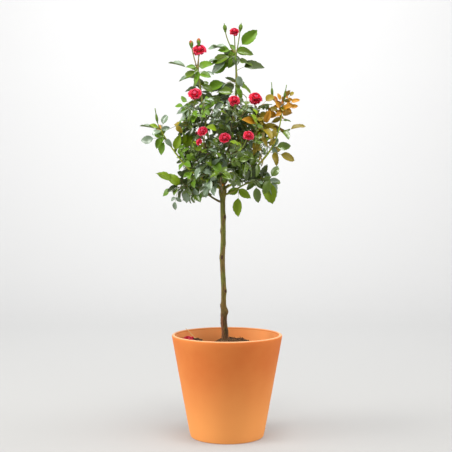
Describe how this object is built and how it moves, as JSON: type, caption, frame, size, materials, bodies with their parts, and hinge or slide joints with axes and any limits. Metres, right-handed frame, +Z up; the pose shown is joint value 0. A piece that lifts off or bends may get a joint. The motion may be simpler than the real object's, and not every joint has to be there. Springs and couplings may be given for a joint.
{
  "type": "standard rose bush in a pot",
  "caption": "Rose grown as a small tree: a bare upright stem in a plain tapered clay pot, with a leafy crown of canes and small red double blooms.",
  "frame": {"origin": "middle of the pot's flat underside", "axes": "+Z up along the trunk; the front of the bush, as pictured, faces -Y and +X is to its right"},
  "size_m": [0.4172, 0.3695, 1.1086],
  "materials": {
    "terracotta": "matt fired clay",
    "compost": "loose dark crumb",
    "bark": "ridged brown to olive bark",
    "cane_bark": "smooth green cane",
    "foliage": "soft semi-gloss leaf"
  },
  "bodies": {
    "root": {"pot": "terracotta", "compost": "compost", "trunk": "bark", "bough_tall_centre": "cane_bark", "mass_tall_centre": "foliage", "bough_tall_left": "cane_bark", "mass_tall_left": "foliage", "bough_left_long": "cane_bark", "mass_left_long": "foliage", "bough_right_long": "cane_bark", "mass_right_long": "foliage", "bough_back_long": "cane_bark", "mass_back_long": "foliage", "bough_low_left": "cane_bark", "mass_low_left": "foliage", "bough_low_right": "cane_bark", "mass_low_right": "foliage", "bough_front_left": "cane_bark", "mass_front_left": "foliage", "bough_front_right": "cane_bark", "mass_front_right": "foliage", "bough_low_front": "cane_bark", "mass_low_front": "foliage", "bough_left": "cane_bark", "mass_left": "foliage", "bough_back_left": "cane_bark", "mass_back_left": "foliage", "bough_back_right": "cane_bark", "mass_back_right": "foliage", "bough_right_bronze": "cane_bark", "mass_right_bronze": "foliage", "bough_upper_left": "cane_bark", "mass_upper_left": "foliage", "bough_upper_right": "cane_bark", "mass_upper_right": "foliage", "bough_upper_front": "cane_bark", "mass_upper_front": "foliage", "bough_upper_back": "cane_bark", "mass_upper_back": "foliage"}
  },
  "joints": []
}
